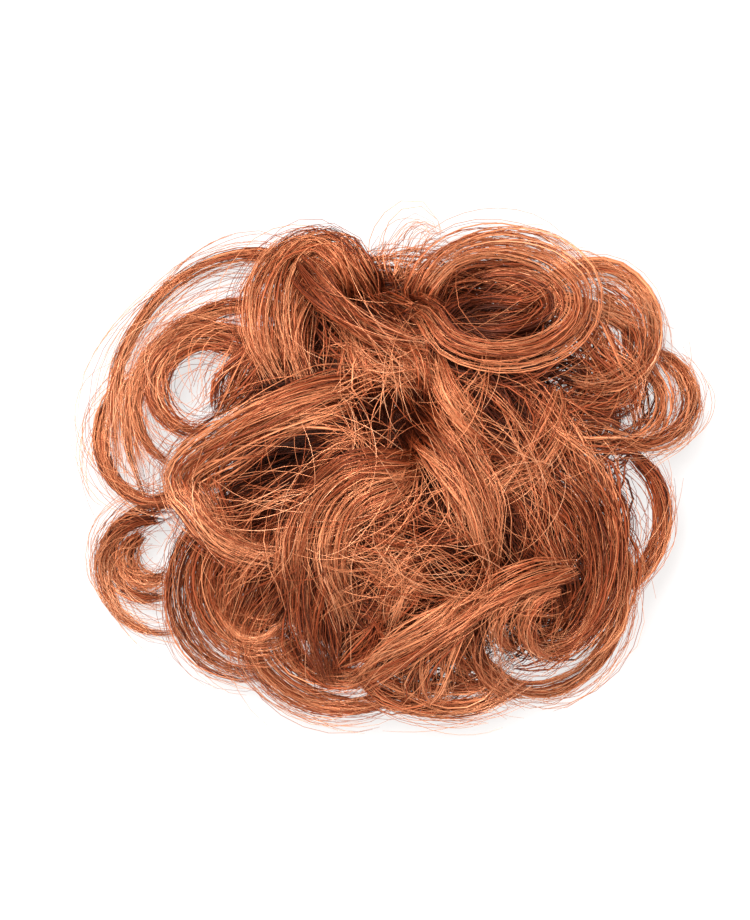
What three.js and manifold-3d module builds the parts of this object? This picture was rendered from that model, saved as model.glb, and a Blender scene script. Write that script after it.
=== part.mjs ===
// A curly hair topper lying on a table: locks of hair in five sections, sewn to a small domed base, with a comb
// under the base that holds it to the wearer's own hair. Millimetres, +Z up, seen from above with +Y away.
// The origin is on the table under the middle of the whole piece, and the base lies a little towards +Y.
import * as THREE from "three";
import { mergeVertices } from "three/addons/utils/BufferGeometryUtils.js";
import Module from "manifold-3d";

const wasm = await Module();
wasm.setup();

// Driving dimensions
const BASE_HALF_WIDTH = 44;
const BASE_HALF_DEPTH = 38;
const BASE_CENTRE_Y = 20;
const BASE_RISE = 15; // top of the dome above the table
const BASE_WALL = 1.6;
const HEM_WIDTH = 5; // the flat tape round the edge, which rests on the table
const HEM_THICK = 1.8;
const COMB_WIDTH = 36;
const COMB_BACK_Y = 42; // the edge of the comb's spine that is sewn to the base
const COMB_SPINE = 4;
const COMB_THICK = 1.2;
const COMB_TEETH = 8;
const TOOTH_LENGTH = 13;
const TOOTH_WIDTH = 2;
const PILE_HALF_WIDTH = 97; // the rounded pile that the outer locks lie on
const PILE_HALF_DEPTH = 79;
const PILE_RISE = 44;
const BODY_HALF_WIDTH = 66; // the dense hair inside the pile, which the locks are fused to
const BODY_HALF_DEPTH = 57;
const BODY_CENTRE_Y = 1.5;
const BODY_RISE = 36;
const BODY_RIBS = 12; // soft ribs of the dense hair, which run down from its top with a twist
const RIB_DEPTH = 0.05; // as a share of the body's reach
const RIB_TWIST = 0.5; // radians from the table to the top
const CROWN_SHARE = 0.44; // part of the body that belongs to the crown, as a share of the base
const CROWN_ROOT_SHARE = 0.3; // where the crown's locks are sewn, as a share of the base
const SIDE_ROOT_SHARE = 0.72; // the same for the other sections
const LOCK_SIDES = 6;
const LOCK_STEP = 10; // spacing of a lock's cross sections along its length
const GAP = 0.35; // clearance between neighbouring pieces

const HAIR_MATERIAL = new THREE.MeshStandardMaterial({ color: 0xa5552f, roughness: 0.45, metalness: 0 });
const BASE_MATERIAL = new THREE.MeshStandardMaterial({ color: 0x5a3320, roughness: 0.9, metalness: 0 });
const COMB_MATERIAL = new THREE.MeshStandardMaterial({ color: 0x3a2318, roughness: 0.35, metalness: 0 });

const { clamp, degToRad, lerp, smoothstep } = THREE.MathUtils;
const asRows = (columns, rows) => rows.map((row) => Object.fromEntries(columns.map((c, i) => [c, row[i]])));

// Sections of hair, as bearings round the base. A section further down is cut where one above it lies.
const SECTIONS = asRows(["name", "fromDeg", "toDeg"], [
  ["crown_locks", 0, 360],
  ["upper_left_locks", 93, 196],
  ["upper_right_locks", -8, 93],
  ["lower_left_locks", 196, 264],
  ["lower_right_locks", 264, 352],
]);

// Locks that curl round: part of an ellipse, from fromDeg to toDeg, lifted above the pile or pressed into it.
// rootDeg is the bearing of the lock's root round the base, or null where it grows out of another lock.
const CURLS = asRows(
  ["section", "rootDeg", "x", "y", "radiusX", "radiusY", "fromDeg", "toDeg",
    "startLift", "midLift", "endLift", "width", "thick"],
  [
    ["crown_locks", 265, -3.5, -26.7, 30, 31.5, 75, 205, 0, 4, -3, 12, 7],
    ["crown_locks", 280, 4.7, -30.3, 25.2, 28.5, 95, 215, -1, 2, -4, 11, 6],
    ["upper_left_locks", 110, -26.5, 45.9, 14.4, 22.8, 45, 235, 2, 9, 3, 13, 8],
    ["upper_left_locks", 100, -20, 44.7, 11.4, 22.8, 40, 230, 0, 5, 2, 11, 7],
    ["upper_left_locks", 150, -57.5, 25.8, 15.6, 14.1, 50, 285, -4, -3, -3, 7.5, 6],
    ["upper_left_locks", 145, -57.5, 21.3, 21.6, 22.5, 75, 255, -6, -5, -6, 5, 5],
    ["upper_left_locks", 160, -71, 9.9, 19.6, 19.8, 80, 300, -8, -6, -8, 6, 5],
    ["upper_left_locks", 115, -44, 15.3, 42.6, 50.4, 80, 200, 2, 2, -4, 4.5, 4.5],
    ["upper_left_locks", 130, -44, 12.3, 37.5, 38.4, 85, 190, -6, -4, -6, 5, 4],
    ["upper_right_locks", 85, 32.5, 51.3, 24.6, 17.1, 190, 525, -2, 5, 9, 10, 7],
    ["upper_right_locks", 75, 32.5, 50.5, 26.5, 19.4, 165, 10, -2, 2, -2, 10, 4],
    ["upper_right_locks", 45, 61, 43.8, 18, 19.2, 105, -120, -4, -2, -3, 6, 5],
    ["upper_right_locks", 20, 73, 22.5, 17, 14.7, 80, -135, -8, -6, -6, 5.5, 5],
    ["lower_left_locks", 205, -74, -26.1, 13.8, 12.6, 50, 300, -10, -8, -12, 6, 6],
    ["lower_left_locks", 210, -69.5, -29.7, 20.1, 19.8, 130, 290, -12, -8, -12, 4, 5],
    ["lower_left_locks", 225, -45.5, -35.7, 24.6, 25.2, 130, 300, -6, -5, -8, 9, 7],
    ["lower_left_locks", 235, -42.5, -35, 17.4, 18.6, 140, 320, -6, -4, -6, 9, 7],
    ["lower_left_locks", 250, -15.5, -44.7, 29.4, 27.6, 190, 320, -6, -3, -4, 7, 6],
    ["lower_right_locks", 340, 58, -13.2, 23.1, 24, 60, -95, -6, -8, -6, 5, 6],
    ["lower_right_locks", 320, 44.5, -36.3, 24.9, 31.5, 40, -200, -8, -5, -6, 5, 5],
    ["lower_right_locks", 330, 41.5, -26.7, 21.6, 27.6, 60, -95, -4, -3, -4, 13, 8],
    ["lower_right_locks", null, 50.5, -46.2, 11.4, 10.8, 95, 255, 2, 3, 0, 5, 5],
    ["lower_right_locks", null, 40, -45.3, 9.6, 9.6, 100, 255, 2, 3, -1, 4.5, 5],
    ["lower_right_locks", null, 40, -53.7, 15.6, 15, 140, 270, -2, -3, -6, 4.5, 5],
    ["lower_right_locks", null, 14.5, -50.7, 30, 21.6, 200, 330, -4, -2, -4, 5, 6],
  ],
);

// Locks that sweep from one place to another: bow is how far the middle lies to the left of the straight way.
const SWEEPS = asRows(
  ["section", "fromX", "fromY", "toX", "toY", "bow", "startLift", "midLift", "endLift", "width", "thick"],
  [
    ["crown_locks", -5.6, 25.2, -63.5, -2.7, -6.5, -6, 6, 0, 15, 8],
    ["crown_locks", -62, 3, -33.5, -25.2, -9, 0, 1, -1, 8, 6],
    ["crown_locks", 2.6, 21.9, 28.7, -29.1, 4.5, -6, 5, 0, 14, 7],
    ["crown_locks", -12, 50, 8, 14, 0, -4, 3, -6, 16, 7],
    ["crown_locks", 28, -24, -4.2, -51.3, 8, -2, 3, -2, 9, 6],
    ["upper_left_locks", -30, 64, 10, 36.3, -5, 8, 10, 5, 9, 5],
    ["upper_right_locks", 13, 42, 55, 54.3, 0, -8, -5, -8, 16, 6],
    ["upper_right_locks", 43, 54.3, 77.6, 37.8, 3, -6, -5, -8, 5, 4],
    ["upper_right_locks", 20, 32, 40, -4, 4, -8, -1, -3, 16, 9],
    ["upper_right_locks", 30, 29, 61, -12, 5, -9, -2, -5, 16, 9],
    ["upper_right_locks", 36, 24, 73, 9.3, -4, -10, -3, -7, 12, 7],
    ["lower_left_locks", -22, 2, -50, -48, -5, -10, -5, -6, 16, 9],
    ["lower_left_locks", -20, -4, -20, -65.7, -5, -10, -3, -5, 13, 8],
    ["lower_right_locks", 20, 6, 52, -29.7, 4, -10, -2, -3, 15, 9],
    ["lower_right_locks", 8, -4, 28, -50, 0, -12, -7, -8, 16, 8],
    ["lower_right_locks", 55, -28.5, -15.5, -66.3, -5, -2, 5, -2, 11, 6],
    ["lower_right_locks", 22, -42.3, 8.5, -72.3, -4, 0, 2, -3, 14, 7],
  ],
);

// Height of a rounded heap over the table, at one place.
function heapTop(x, y, halfWidth, halfDepth, rise) {
  return rise * Math.sqrt(Math.max(0, 1 - (x / halfWidth) ** 2 - (y / halfDepth) ** 2));
}

// A point of a lock on the pile, at t along its length. It is never under the table.
function pilePoint(lock, x, y, t) {
  const start = lock.startLift * (1 - t) * (1 - 2 * t);
  const mid = lock.midLift * 4 * t * (1 - t);
  const end = lock.endLift * t * (2 * t - 1);
  const z = heapTop(x, y, PILE_HALF_WIDTH, PILE_HALF_DEPTH, PILE_RISE) + start + mid + end;
  return new THREE.Vector3(x, y, Math.max(z, lock.thick / 2));
}

// Where a lock is sewn: inside the dense hair, over the base.
function rootPoint(lock) {
  const share = lock.section === "crown_locks" ? CROWN_ROOT_SHARE : SIDE_ROOT_SHARE;
  const x = BASE_HALF_WIDTH * share * Math.cos(degToRad(lock.rootDeg));
  const y = BASE_CENTRE_Y + BASE_HALF_DEPTH * share * Math.sin(degToRad(lock.rootDeg));
  const z = heapTop(x, y - BODY_CENTRE_Y, BODY_HALF_WIDTH, BODY_HALF_DEPTH, BODY_RISE);
  return new THREE.Vector3(x, y, z - 3);
}

function curlPath(lock) {
  const stations = Math.ceil(Math.abs(lock.toDeg - lock.fromDeg) / 40);
  const points = lock.rootDeg === null ? [] : [rootPoint(lock)];
  for (let i = 0; i <= stations; i++) {
    const turn = degToRad(lerp(lock.fromDeg, lock.toDeg, i / stations));
    const x = lock.x + lock.radiusX * Math.cos(turn);
    const y = lock.y + lock.radiusY * Math.sin(turn);
    points.push(pilePoint(lock, x, y, i / stations));
  }
  return new THREE.CatmullRomCurve3(points);
}

function sweepPath(lock) {
  const stations = 4;
  const along = new THREE.Vector2(lock.toX - lock.fromX, lock.toY - lock.fromY);
  const left = new THREE.Vector2(-along.y, along.x).normalize();
  const points = [];
  for (let i = 0; i <= stations; i++) {
    const t = i / stations;
    const out = lock.bow * 4 * t * (1 - t);
    const x = lock.fromX + along.x * t + left.x * out;
    const y = lock.fromY + along.y * t + left.y * out;
    points.push(pilePoint(lock, x, y, t));
  }
  return new THREE.CatmullRomCurve3(points);
}

// A lock swells from its root and thins to its tip.
function swell(t) {
  return Math.min(1, 0.6 + 2.5 * t) * (1 - 0.6 * smoothstep(t, 0.65, 1));
}

// A closed mesh as a solid for joining and cutting, without the slivers where a turned profile meets its axis.
function solidOf(geometry) {
  const bare = geometry.clone();
  bare.deleteAttribute("normal");
  bare.deleteAttribute("uv");
  const merged = mergeVertices(bare, 1e-4);
  const corners = [];
  for (let i = 0; i < merged.index.count; i += 3) {
    const [a, b, c] = merged.index.array.slice(i, i + 3);
    if (a !== b && b !== c && c !== a) corners.push(a, b, c);
  }
  return new wasm.Manifold(
    new wasm.Mesh({
      numProp: 3,
      vertProperties: new Float32Array(merged.attributes.position.array),
      triVerts: new Uint32Array(corners),
    }),
  );
}

function geometryOf(solid) {
  const mesh = solid.getMesh();
  const geometry = new THREE.BufferGeometry();
  geometry.setAttribute("position", new THREE.BufferAttribute(mesh.vertProperties, 3));
  geometry.setIndex(new THREE.BufferAttribute(mesh.triVerts, 1));
  geometry.computeVertexNormals();
  return geometry;
}

// A flattened tube of hair: a closed cylinder whose cross sections follow the lock's path.
function lockSolid(lock, grow) {
  const path = "fromX" in lock ? sweepPath(lock) : curlPath(lock);
  const steps = Math.max(5, Math.round(path.getLength() / LOCK_STEP));
  const tube = new THREE.CylinderGeometry(1, 1, 1, LOCK_SIDES, steps);
  const place = tube.attributes.position;
  const up = new THREE.Vector3(0, 0, 1);
  for (let i = 0; i < place.count; i++) {
    const t = clamp(place.getY(i) + 0.5, 0, 1);
    const along = path.getTangentAt(t);
    const side = new THREE.Vector3().crossVectors(along, up).normalize();
    const over = new THREE.Vector3().crossVectors(side, along);
    const point = path.getPointAt(t);
    point.addScaledVector(side, place.getX(i) * ((lock.width / 2) * swell(t) + grow));
    point.addScaledVector(over, place.getZ(i) * ((lock.thick / 2) * swell(t) + grow));
    place.setXYZ(i, point.x, point.y, point.z);
  }
  return solidOf(tube);
}

// Heights of the base, at a share of its half width.
const HEM_SHARE = 1 - HEM_WIDTH / BASE_HALF_WIDTH;
const INNER_SHARE = HEM_SHARE - BASE_WALL / BASE_HALF_WIDTH;

function domeTop(share) {
  return HEM_THICK + (BASE_RISE - HEM_THICK) * Math.max(0, 1 - (share / HEM_SHARE) ** 2);
}

function domeUnder(share) {
  return (BASE_RISE - BASE_WALL) * Math.max(0, 1 - (share / INNER_SHARE) ** 2);
}

function domeProfile(height, fromShare, toShare, lift) {
  const steps = 5;
  const points = [];
  for (let i = 0; i <= steps; i++) {
    const share = lerp(fromShare, toShare, i / steps);
    points.push(new THREE.Vector2(share * BASE_HALF_WIDTH, height(share) + lift));
  }
  return points;
}

// A profile turned round the middle of the base, made oval and set where the base lies.
function ovalTurned(points) {
  const turned = new THREE.LatheGeometry(points, 32);
  turned.rotateX(Math.PI / 2);
  turned.scale(1, BASE_HALF_DEPTH / BASE_HALF_WIDTH, 1);
  turned.translate(0, BASE_CENTRE_Y, 0);
  return solidOf(turned);
}

function baseSolid() {
  const edge = [new THREE.Vector2(BASE_HALF_WIDTH, HEM_THICK), new THREE.Vector2(BASE_HALF_WIDTH, 0)];
  const top = domeProfile(domeTop, 0, HEM_SHARE, 0);
  const under = domeProfile(domeUnder, INNER_SHARE, 0, 0);
  return ovalTurned([...top, ...edge, ...under].reverse());
}

// The room that the base and the head under it take up, which no hair enters.
function baseRoom() {
  const reach = BASE_HALF_WIDTH + GAP;
  const edge = [new THREE.Vector2(reach, HEM_THICK + GAP), new THREE.Vector2(reach, -1), new THREE.Vector2(0, -1)];
  return ovalTurned([...domeProfile(domeTop, 0, HEM_SHARE, GAP), ...edge].reverse());
}

// The comb is made flat, then bent to lie against the underside of the dome.
function combSolid() {
  const spine = new THREE.BoxGeometry(COMB_WIDTH, COMB_SPINE, COMB_THICK, 6, 1, 1);
  spine.translate(0, COMB_BACK_Y - COMB_SPINE / 2, 0);
  const bars = [spine];
  const firstX = (TOOTH_WIDTH - COMB_WIDTH) / 2;
  const overlap = 1;
  for (let i = 0; i < COMB_TEETH; i++) {
    const tooth = new THREE.BoxGeometry(TOOTH_WIDTH, TOOTH_LENGTH + overlap, COMB_THICK, 1, 3, 1);
    const x = lerp(firstX, -firstX, i / (COMB_TEETH - 1));
    tooth.translate(x, COMB_BACK_Y - COMB_SPINE - (TOOTH_LENGTH - overlap) / 2, 0);
    bars.push(tooth);
  }
  for (const bar of bars) {
    const place = bar.attributes.position;
    for (let i = 0; i < place.count; i++) {
      const deep = (place.getY(i) - BASE_CENTRE_Y) / BASE_HALF_DEPTH;
      const roof = domeUnder(Math.hypot(place.getX(i) / BASE_HALF_WIDTH, deep));
      place.setZ(i, place.getZ(i) + roof - 2 * GAP - COMB_THICK / 2);
    }
  }
  return bars.map(solidOf).reduce((whole, bar) => whole.add(bar));
}

// One section's share of the dense hair: a plug in the middle for the crown, a wedge for each of the others.
function bodySolid(section, grow) {
  const heap = new THREE.SphereGeometry(1, 4 * BODY_RIBS, 12);
  heap.rotateX(Math.PI / 2);
  const place = heap.attributes.position;
  for (let i = 0; i < place.count; i++) {
    const bearing = Math.atan2(place.getY(i), place.getX(i)) + RIB_TWIST * place.getZ(i);
    const reach = 1 + RIB_DEPTH * Math.cos(BODY_RIBS * bearing);
    place.setXYZ(i, place.getX(i) * reach, place.getY(i) * reach, place.getZ(i));
  }
  heap.scale(BODY_HALF_WIDTH + grow, BODY_HALF_DEPTH + grow, BODY_RISE + grow);
  heap.translate(0, BODY_CENTRE_Y, 0);
  const outline = new THREE.Shape();
  if (section.name === "crown_locks") {
    const halfWidth = BASE_HALF_WIDTH * CROWN_SHARE + grow;
    outline.absellipse(0, 0, halfWidth, (halfWidth * BASE_HALF_DEPTH) / BASE_HALF_WIDTH, 0, 2 * Math.PI);
  } else {
    const from = degToRad(section.fromDeg);
    const to = degToRad(section.toDeg);
    const back = grow / Math.sin((to - from) / 2);
    const tipX = -back * Math.cos((from + to) / 2);
    const tipY = -back * Math.sin((from + to) / 2);
    const reach = 4 * BASE_HALF_WIDTH;
    outline.moveTo(tipX, tipY);
    outline.lineTo(tipX + reach * Math.cos(from), tipY + reach * Math.sin(from));
    outline.absarc(tipX, tipY, reach, from, to);
  }
  const prism = new THREE.ExtrudeGeometry(outline, { depth: 2 * BODY_RISE, bevelEnabled: false, curveSegments: 10 });
  prism.translate(0, BASE_CENTRE_Y, -1);
  return solidOf(heap).intersect(solidOf(prism));
}

function sectionSolid(section, grow) {
  const locks = [...CURLS, ...SWEEPS].filter((lock) => lock.section === section.name);
  return locks.reduce((whole, lock) => whole.add(lockSolid(lock, grow)), bodySolid(section, grow));
}

function largestBody(solid) {
  return solid.decompose().reduce((best, body) => (body.volume() > best.volume() ? body : best));
}

const topper = new THREE.Group();
topper.name = "hair_topper";

function addPiece(name, solid, material) {
  const piece = new THREE.Mesh(geometryOf(solid), material);
  piece.name = name;
  topper.add(piece);
}

addPiece("base", baseSolid(), BASE_MATERIAL);
addPiece("comb", combSolid(), COMB_MATERIAL);

// Each section rests on the table, clear of the base and of the sections that lie over it.
const table = new THREE.BoxGeometry(400, 400, 100);
table.translate(0, 0, -50);
let taken = baseRoom().add(solidOf(table));
for (const section of SECTIONS) {
  addPiece(section.name, largestBody(sectionSolid(section, 0).subtract(taken)), HAIR_MATERIAL);
  taken = taken.add(sectionSolid(section, GAP));
}

export default topper;
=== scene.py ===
"""A curly auburn hair topper lying on a pale table, seen from straight above.

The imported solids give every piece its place. The hair piece's sizes are in millimetres and become metres
through MM. Those of the table, the lights and the camera are in metres.
"""

import math

import bpy
import numpy as np
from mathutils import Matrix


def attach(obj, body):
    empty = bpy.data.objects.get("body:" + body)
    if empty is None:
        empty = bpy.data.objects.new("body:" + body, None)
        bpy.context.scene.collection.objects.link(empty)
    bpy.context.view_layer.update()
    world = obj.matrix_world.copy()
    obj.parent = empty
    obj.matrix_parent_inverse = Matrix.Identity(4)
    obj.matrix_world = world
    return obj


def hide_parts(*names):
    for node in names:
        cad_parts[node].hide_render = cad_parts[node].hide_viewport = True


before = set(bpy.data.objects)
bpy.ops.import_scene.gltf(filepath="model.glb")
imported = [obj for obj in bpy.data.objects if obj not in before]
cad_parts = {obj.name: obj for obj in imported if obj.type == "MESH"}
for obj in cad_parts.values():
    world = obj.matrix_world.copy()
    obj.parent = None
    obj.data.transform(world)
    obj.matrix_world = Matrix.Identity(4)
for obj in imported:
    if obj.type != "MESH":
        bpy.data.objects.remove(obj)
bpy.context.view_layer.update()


# Base
# The base is a shallow oval dome of woven net, heat-set over a form to fit the top of a head.
# A ribbed tape is folded and sewn round its edge, and the tape's flat hem lies on the table.
MM = 0.001
BASE_HALF_WIDTH = 44
BASE_HALF_DEPTH = 38
BASE_CENTRE_Y = 20
BASE_RISE = 15
BASE_WALL = 1.6
HEM_WIDTH = 5
HEM_THICK = 1.8
HEM_SHARE = 1 - HEM_WIDTH / BASE_HALF_WIDTH
AROUND = 120  # points round every oval
INNERMOST = 0.01  # share of an oval at which its rings start

NET_THICK = 0.8
NET_EDGE_SHARE = 0.96
NET_RINGS = 26
NET_THREAD_SCALE = 620.0
NET_WEAR_SCALE = 90.0
NET_COLOURS = [(0.0, (0.02, 0.008, 0.005)), (0.5, (0.075, 0.030, 0.017)), (1.0, (0.16, 0.070, 0.040))]

TAPE_EDGE = 0.6  # how round the tape's folded edges are
TAPE_RINGS = 20
TAPE_RIBS = 420.0
TAPE_STITCHES = 90.0
TAPE_FUZZ_SCALE = 1500.0
TAPE_COLOURS = [(0.1, (0.012, 0.005, 0.003)), (0.5, (0.055, 0.022, 0.012)), (0.9, (0.140, 0.060, 0.034))]


class Shade:
    """One socket of a material's nodes. Sums and products of Shades add Math nodes to the material."""

    def __init__(self, tree, socket=None):
        self.tree = tree
        self.socket = socket

    def node(self, kind, settings, sockets, output=0):
        made = self.tree.nodes.new(kind)
        for name, value in settings.items():
            if name == "stops":
                ramp = made.color_ramp
                while len(ramp.elements) < len(value):
                    ramp.elements.new(1.0)
                for element, (place, colour) in zip(ramp.elements, value):
                    element.position = place
                    element.color = (*colour, 1.0)
            else:
                setattr(made, name, value)
        for name, value in sockets.items():
            if isinstance(value, Shade):
                self.tree.links.new(value.socket, made.inputs[name])
            else:
                made.inputs[name].default_value = value
        return Shade(self.tree, made.outputs[output])

    def math(self, operation, first, second):
        return self.node("ShaderNodeMath", {"operation": operation}, {0: first, 1: second})

    def __add__(self, other):
        return self.math("ADD", self, other)

    def __radd__(self, other):
        return self.math("ADD", other, self)

    def __sub__(self, other):
        return self.math("SUBTRACT", self, other)

    def __rsub__(self, other):
        return self.math("SUBTRACT", other, self)

    def __mul__(self, other):
        return self.math("MULTIPLY", self, other)

    def __rmul__(self, other):
        return self.math("MULTIPLY", other, self)

    def feeds(self, shader, name):
        self.tree.links.new(self.socket, shader.inputs[name])


def new_finish(name, roughness):
    finish = bpy.data.materials.new(name)
    finish.use_nodes = True
    shader = finish.node_tree.nodes["Principled BSDF"]
    shader.inputs["Roughness"].default_value = roughness
    return finish, Shade(finish.node_tree), shader


def woven_net():
    finish, shade, shader = new_finish("woven_net", 0.85)
    place = shade.node("ShaderNodeTexCoord", {}, {}, "Object")
    threads = {"Vector": place, "Scale": NET_THREAD_SCALE}
    warp = shade.node("ShaderNodeTexWave", {"bands_direction": "X"}, threads, "Fac")
    weft = shade.node("ShaderNodeTexWave", {"bands_direction": "Y"}, threads, "Fac")
    wear = shade.node("ShaderNodeTexNoise", {}, {"Vector": place, "Scale": NET_WEAR_SCALE})
    weave = warp * weft
    tint = weave * 0.7 + wear * 0.3
    shade.node("ShaderNodeValToRGB", {"stops": NET_COLOURS}, {"Fac": tint}).feeds(shader, "Base Color")
    bump = shade.node("ShaderNodeBump", {}, {"Height": weave, "Strength": 0.5, "Distance": 0.4 * MM})
    bump.feeds(shader, "Normal")
    return finish


def ribbed_tape():
    finish, shade, shader = new_finish("ribbed_tape", 0.75)
    place = shade.node("ShaderNodeTexCoord", {}, {}, "Object")
    x = shade.node("ShaderNodeSeparateXYZ", {}, {"Vector": place}, "X")
    y = shade.node("ShaderNodeSeparateXYZ", {}, {"Vector": place}, "Y") - BASE_CENTRE_Y * MM
    bearing = shade.math("ARCTAN2", y * (BASE_HALF_WIDTH / BASE_HALF_DEPTH), x)
    rib = shade.math("SINE", bearing * TAPE_RIBS, 0.0) * 0.5 + 0.5
    stitch = shade.math("GREATER_THAN", shade.math("SINE", bearing * TAPE_STITCHES, 0.0), -0.3)
    fuzz = shade.node("ShaderNodeTexNoise", {}, {"Vector": place, "Scale": TAPE_FUZZ_SCALE, "Detail": 3.0})
    tint = rib * 0.3 + stitch * 0.35 + fuzz * 0.35
    shade.node("ShaderNodeValToRGB", {"stops": TAPE_COLOURS}, {"Fac": tint}).feeds(shader, "Base Color")
    relief = rib + fuzz * 0.5
    bump = shade.node("ShaderNodeBump", {}, {"Height": relief, "Strength": 0.5, "Distance": 0.3 * MM})
    bump.feeds(shader, "Normal")
    return finish


def dome_top(share):
    return HEM_THICK + (BASE_RISE - HEM_THICK) * max(0.0, 1 - (share / HEM_SHARE) ** 2)


def oval(share, z):
    bearings = np.linspace(0, 2 * math.pi, AROUND, endpoint=False)
    x = share * BASE_HALF_WIDTH * np.cos(bearings)
    y = BASE_CENTRE_Y + share * BASE_HALF_DEPTH * np.sin(bearings)
    return np.stack([x, y, np.full(AROUND, z)], axis=1)


def ring_mesh(name, rings):
    """A closed mesh through rings of points that follow each other round a section and meet again."""
    size = len(rings[0])
    faces = []
    for i in range(len(rings)):
        here = i * size
        there = (i + 1) % len(rings) * size
        for j in range(size):
            k = (j + 1) % size
            faces.append((here + j, here + k, there + k, there + j))
    mesh = bpy.data.meshes.new(name)
    mesh.from_pydata((np.concatenate(rings) * MM).tolist(), [], faces)
    mesh.polygons.foreach_set("use_smooth", [True] * len(mesh.polygons))
    mesh.update()
    return mesh


def add_piece(name, mesh):
    piece = bpy.data.objects.new(name, mesh)
    bpy.context.collection.objects.link(piece)
    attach(piece, "root")
    return piece


def net_mesh():
    """The net lies in the middle of the solid dome's wall."""
    shares = np.linspace(INNERMOST, NET_EDGE_SHARE, NET_RINGS)
    under = [oval(share, dome_top(share) - 0.5 * BASE_WALL - 0.5 * NET_THICK) for share in shares]
    over = [oval(share, dome_top(share) - 0.5 * BASE_WALL + 0.5 * NET_THICK) for share in shares[::-1]]
    return ring_mesh("base_net", under + over)


def tape_mesh():
    """The tape's section is a flat oval with blunt ends, as wide and as thick as the hem."""
    middle = 0.5 * (1 + HEM_SHARE)
    half = 0.5 * (1 - HEM_SHARE)
    rings = []
    for turn in np.linspace(0, 2 * math.pi, TAPE_RINGS, endpoint=False):
        across = math.copysign(abs(math.cos(turn)) ** TAPE_EDGE, math.cos(turn))
        rise = math.copysign(abs(math.sin(turn)) ** TAPE_EDGE, math.sin(turn))
        rings.append(oval(middle + half * across, 0.5 * HEM_THICK * (1 + rise)))
    return ring_mesh("hem_tape", rings)


net = net_mesh()
net.materials.append(woven_net())
base_net = add_piece("base_net", net)
tape = tape_mesh()
tape.materials.append(ribbed_tape())
hem_tape = add_piece("hem_tape", tape)
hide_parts("base")


# Comb
# The comb is moulded in one piece from dark plastic, with its spine and teeth curved to the dome.
# It is sewn by its spine to the underside of the base, and the solid itself is shown.
COMB_MOTTLE_SCALE = 260.0
COMB_COLOURS = [(0.3, (0.020, 0.008, 0.004)), (0.7, (0.060, 0.022, 0.010))]


def comb_plastic():
    finish, shade, shader = new_finish("comb_plastic", 0.35)
    place = shade.node("ShaderNodeTexCoord", {}, {}, "Object")
    grain = {"Vector": place, "Scale": COMB_MOTTLE_SCALE, "Detail": 4.0}
    mottle = shade.node("ShaderNodeTexNoise", {}, grain)
    shade.node("ShaderNodeValToRGB", {"stops": COMB_COLOURS}, {"Fac": mottle}).feeds(shader, "Base Color")
    (mottle * 0.2 + 0.25).feeds(shader, "Roughness")
    return finish


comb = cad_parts["comb"]
comb.data.materials.clear()
comb.data.materials.append(comb_plastic())


# Root mat
# Under the visible locks the hair is dense: rows of roots sewn to the net and matted together, coloured dark
# as painted shade of the deep pile.
# The mat is a low egg-shaped heap that is hollow over the base and stops just above the table.
MAT_HALF_WIDTH = 46
MAT_BACK = 40  # how far the mat reaches behind the middle of the base
MAT_FRONT = 76
MAT_FRONT_SWELL = 0.45
MAT_RISE = 18
MAT_BOTTOM = 2.4
MAT_CLEARANCE = 0.5  # gap between the mat's hollow and the dome
MAT_HOLLOW_SHARE = 0.86
MAT_RINGS = 20
MAT_STREAKS_ROUND = 110.0
MAT_STREAKS_OUT = 90.0
MAT_SPIRAL = 400.0
MAT_HAIR_AND_SHADE_COLOURS = [(0.3, (0.028, 0.006, 0.0025)), (0.7, (0.130, 0.030, 0.010))]


def mat_top(share):
    return MAT_BOTTOM + MAT_RISE * (1 - share**2)


def mat_outline(share, bearings):
    """The mat's egg shape, scaled by share about the middle of the base, and widest in front of it."""
    front = np.maximum(0, -np.sin(bearings))
    reach = np.where(np.sin(bearings) > 0, MAT_BACK, MAT_FRONT)
    x = share * MAT_HALF_WIDTH * (1 + MAT_FRONT_SWELL * front) * np.cos(bearings)
    return x, BASE_CENTRE_Y + share * reach * np.sin(bearings)


def mat_mesh():
    bearings = np.linspace(0, 2 * math.pi, AROUND, endpoint=False)
    rings = []
    for share in np.linspace(1, INNERMOST, MAT_RINGS):
        x, y = mat_outline(share, bearings)
        rings.append(np.stack([x, y, np.full(AROUND, mat_top(share))], axis=1))
    for share in np.linspace(INNERMOST, MAT_HOLLOW_SHARE, MAT_RINGS):
        rings.append(oval(share, dome_top(share) + MAT_CLEARANCE))
    return ring_mesh("root_mat", rings)


def mat_finish():
    """Streaks that spiral out from the middle of the base, as combed roots do."""
    finish, shade, shader = new_finish("matted_roots_painted_shade", 0.7)
    place = shade.node("ShaderNodeTexCoord", {}, {}, "Object")
    x = shade.node("ShaderNodeSeparateXYZ", {}, {"Vector": place}, "X")
    y = shade.node("ShaderNodeSeparateXYZ", {}, {"Vector": place}, "Y") - BASE_CENTRE_Y * MM
    bearing = shade.math("ARCTAN2", y, x)
    reach = shade.math("POWER", x * x + y * y, 0.5)
    across = bearing * MAT_STREAKS_ROUND + reach * MAT_SPIRAL
    combed = shade.node("ShaderNodeCombineXYZ", {}, {"X": across, "Y": reach * MAT_STREAKS_OUT})
    streaks = shade.node("ShaderNodeTexNoise", {}, {"Vector": combed, "Scale": 1.0, "Detail": 5.0})
    # the mat's dark hair colour is partly painted shade of the deep pile
    shade.node("ShaderNodeValToRGB", {"stops": MAT_HAIR_AND_SHADE_COLOURS}, {"Fac": streaks}).feeds(shader, "Base Color")
    bump = shade.node("ShaderNodeBump", {}, {"Height": streaks, "Strength": 0.8, "Distance": MM})
    bump.feeds(shader, "Normal")
    return finish


mat = mat_mesh()
mat.materials.append(mat_finish())
add_piece("root_mat", mat)


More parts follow.
